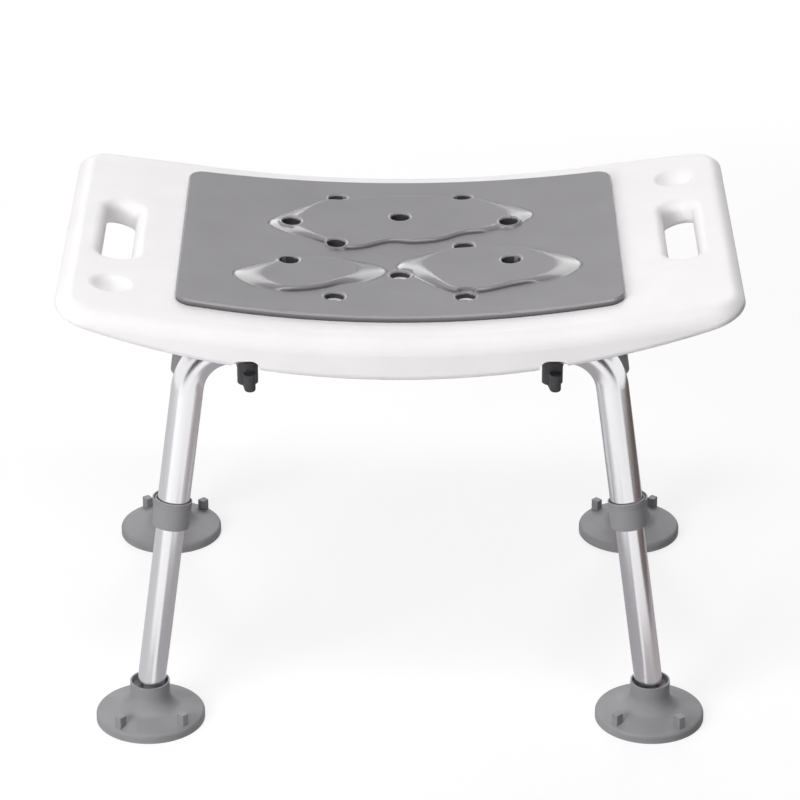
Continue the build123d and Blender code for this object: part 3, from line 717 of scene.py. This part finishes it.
def cut_line(bm, measure, level):
    """Gives the mesh edges along the line where a measure has one value."""
    bm.verts.index_update()
    value = measure(plan(bm)) - level
    new_verts = []
    for edge in list(bm.edges):
        a, b = (value[vert.index] for vert in edge.verts)
        if a * b < 0:
            new_verts.append(bmesh.utils.edge_split(edge, edge.verts[0], a / (a - b))[1])
    bmesh.ops.connect_verts(bm, verts=new_verts)


bm = bmesh.new()
cells = [int(half * 2 / CELL) + 2 for half in PAD_HALF]
spread = Matrix.Diagonal((cells[0] * CELL / 2, cells[1] * CELL / 2, 1, 1))
bmesh.ops.create_grid(bm, x_segments=cells[0], y_segments=cells[1], size=1, matrix=spread)
for measure, levels in (
    (inside_outline, BEVEL_LINES),
    (off_drains, DRAIN_LINES),
    (up_the_slope, PUDDLE_LINES),
):
    for level in levels:
        cut_line(bm, measure, level)
centres = np.array([face.calc_center_median().xy for face in bm.faces])
waste = (inside_outline(centres) < 0) | (off_drains(centres) < 0)
bmesh.ops.delete(bm, geom=[face for face, out in zip(bm.faces, waste) if out], context="FACES")
print("faces of the flat sheet:", len(bm.faces))

# %% [markdown]
# Now the heights. A puddle rises quickly from its outline and then flattens, as a drop of
# water does. The rim of a drain hole is rounded over by a quarter circle, and the pad's
# edge is bevelled.

# %% Heights of the points
PUDDLE_HEIGHT = 3.2 * MM
PUDDLE_CURVE = 2.0

points = plan(bm)
nearest_drain = np.linalg.norm(points[:, None] - DRAINS, axis=2).argmin(axis=1)
by_drain = np.clip(1 - off_drains(points) / DRAIN_COLLAR, 0, 1)
slope_share = np.clip(up_the_slope(points), -1, 1)
slope_share += by_drain * (np.sign(up_the_slope(DRAINS))[nearest_drain] - slope_share)
rise = 1 - (1 - np.clip(slope_share, 0, 1)) ** PUDDLE_CURVE
bevel_drop = np.clip(PAD_BEVEL - inside_outline(points), 0, PAD_BEVEL)
rim = np.clip(DRAIN_ROUND - off_drains(points), 0, DRAIN_ROUND)
rim_drop = DRAIN_ROUND - np.sqrt(DRAIN_ROUND**2 - rim**2)
thickness = PAD_THICKNESS + PUDDLE_HEIGHT * rise - bevel_drop - rim_drop
print("thickness in mm:", round(thickness.min() / MM, 1), "to", round(thickness.max() / MM, 1))

# %% [markdown]
# Two attributes of the mesh are kept for the finish to read: where the mould was polished,
# and where shade is painted into the foam's colour: in the holes, down at the glue and in
# the tight fold at the foot of a steep slope.

# %% Polish and painted shade
# Where the band of painted shade lies on a puddle's slope, and how far it reaches.
FOLD_AT = 0.1
FOLD_SHADE_REACH = 0.25

on_slope = np.where(slope_share < -FOLD_AT / 2, 0, np.clip(2 - 2 * slope_share, 0, 1))
own_puddle = slope_shares(points).argmax(axis=0)
steep = PUDDLE_SLOPE / slope_lengths(points)[own_puddle, range(len(points))]
# Painted shade: a dark band at the foot of a steep slope, strongest where the slope is short.
painted_fold_shade = np.clip(1 - np.abs(slope_share - FOLD_AT) / FOLD_SHADE_REACH, 0, 1)
polished = np.maximum(on_slope, bevel_drop / PAD_BEVEL)
# Painted shade is full on the walls of the drain holes, and follows the band at the fold elsewhere.
painted_shade = np.where(off_drains(points) < DRAIN_LINES[1], 1, painted_fold_shade * steep)
print("points with polish:", int((polished > 0).sum()), "with shade:", int((painted_shade > 0).sum()))

# %% [markdown]
# The flat sheet is laid on the seat, a glue line above it, and extruded. The copy that
# this makes is lifted by the thickness at each point, so the underside follows the seat
# and the top has the relief. The attributes go along in layers of the mesh.

# %% Lift the sheet and give it its thickness
layers = {name: bm.verts.layers.float.new(name) for name in ("polish", "shade", "thickness")}
for vert, *values in zip(bm.verts, polished, painted_shade, thickness):
    vert.co.z = seat_height(vert.co.x) + GLUE_LINE
    for layer, value in zip(layers.values(), values):
        vert[layer] = value
flat_verts = list(bm.verts)
raised = bmesh.ops.extrude_face_region(bm, geom=list(bm.faces))["geom"]
for item in raised:
    if isinstance(item, bmesh.types.BMVert):
        item.co.z += item[layers["thickness"]]
# Painted shade: the bottom points get full shade, so every wall of the pad darkens towards the glue line.
for vert in flat_verts:
    vert[layers["shade"]] = 1
print("faces of the raised pad:", len(bm.faces))

# %% [markdown]
# Points that lie on each other are merged, faces with many corners are split, and the faces
# are turned outwards. An edge stays sharp only where its faces meet at a clear angle.

# %% Close and smooth the pad
WELD = 0.01 * MM
SHARP = math.radians(33)

bmesh.ops.remove_doubles(bm, verts=bm.verts, dist=WELD)
bmesh.ops.triangulate(bm, faces=[face for face in bm.faces if len(face.verts) > 4])
bmesh.ops.recalc_face_normals(bm, faces=bm.faces)
for face in bm.faces:
    face.smooth = True
for edge in bm.edges:
    edge.smooth = edge.calc_face_angle(0) < SHARP
open_edges = sum(edge.is_boundary for edge in bm.edges)
pinched_edges = sum(len(edge.link_faces) > 2 for edge in bm.edges)
seat_pad = add_mesh("foam_pad", bm)
print("pad:", len(seat_pad.data.polygons), "faces,", open_edges, "open and", pinched_edges, "pinched edges")

# %% [markdown]
# The foam is grey and has a soft satin skin from the mould. On the puddles' slopes and on
# the bevel the mould was polished, so they shine a little more. Shade is painted into the
# colour as a dark grey on the walls of the holes, towards the foot of the pad's edge and in
# the folds. The finish reads the two attributes for that, and a fine noise gives the pores of the skin.

# %% Finish of the foam
FOAM_CLOUD_SIZE = 50 * MM
UNLINKED_ROUGHNESS = 0.5
SKIN_ROUGHNESS = 0.3
POLISHED_ROUGHNESS = 0.2
PORE_SIZE = 0.8 * MM
PORE_DEPTH = 0.03 * MM


def attribute(tree, name):
    """One of the mesh's own values, point by point."""
    node = tree.nodes.new("ShaderNodeAttribute")
    node.attribute_name = name
    return node.outputs["Fac"]


def foam():
    """Foam skin with shade painted in as a dark grey where the mesh says shade, and smoother where it says
    polish.
    """
    material, tree, shader, place = new_finish("grey_foam", UNLINKED_ROUGHNESS, specular=0.45)
    clouds = mottle(tree, place, FOAM_CLOUD_SIZE)
    skin = two_tone(tree, shader, clouds, seen(126, 124, 126), seen(132, 130, 133))
    painted_shade_mix = tree.nodes.new("ShaderNodeMix")
    painted_shade_mix.data_type = "RGBA"
    # The dark grey of the painted shade.
    painted_shade_mix.inputs["B"].default_value = seen(60, 58, 60)
    tree.links.new(skin, painted_shade_mix.inputs["A"])
    tree.links.new(attribute(tree, "shade"), painted_shade_mix.inputs["Factor"])
    tree.links.new(painted_shade_mix.outputs["Result"], shader.inputs["Base Color"])
    gloss = tree.nodes.new("ShaderNodeMapRange")
    gloss.inputs["To Min"].default_value = SKIN_ROUGHNESS
    gloss.inputs["To Max"].default_value = POLISHED_ROUGHNESS
    tree.links.new(attribute(tree, "polish"), gloss.inputs["Value"])
    tree.links.new(gloss.outputs["Result"], shader.inputs["Roughness"])
    grain(tree, shader, mottle(tree, place, PORE_SIZE, GRAIN_DETAIL), PORE_DEPTH)
    return material


seat_pad.data.materials.append(foam())
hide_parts("seat_pad")
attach(seat_pad, "seat")
print("pad finish:", seat_pad.data.materials[0].name)
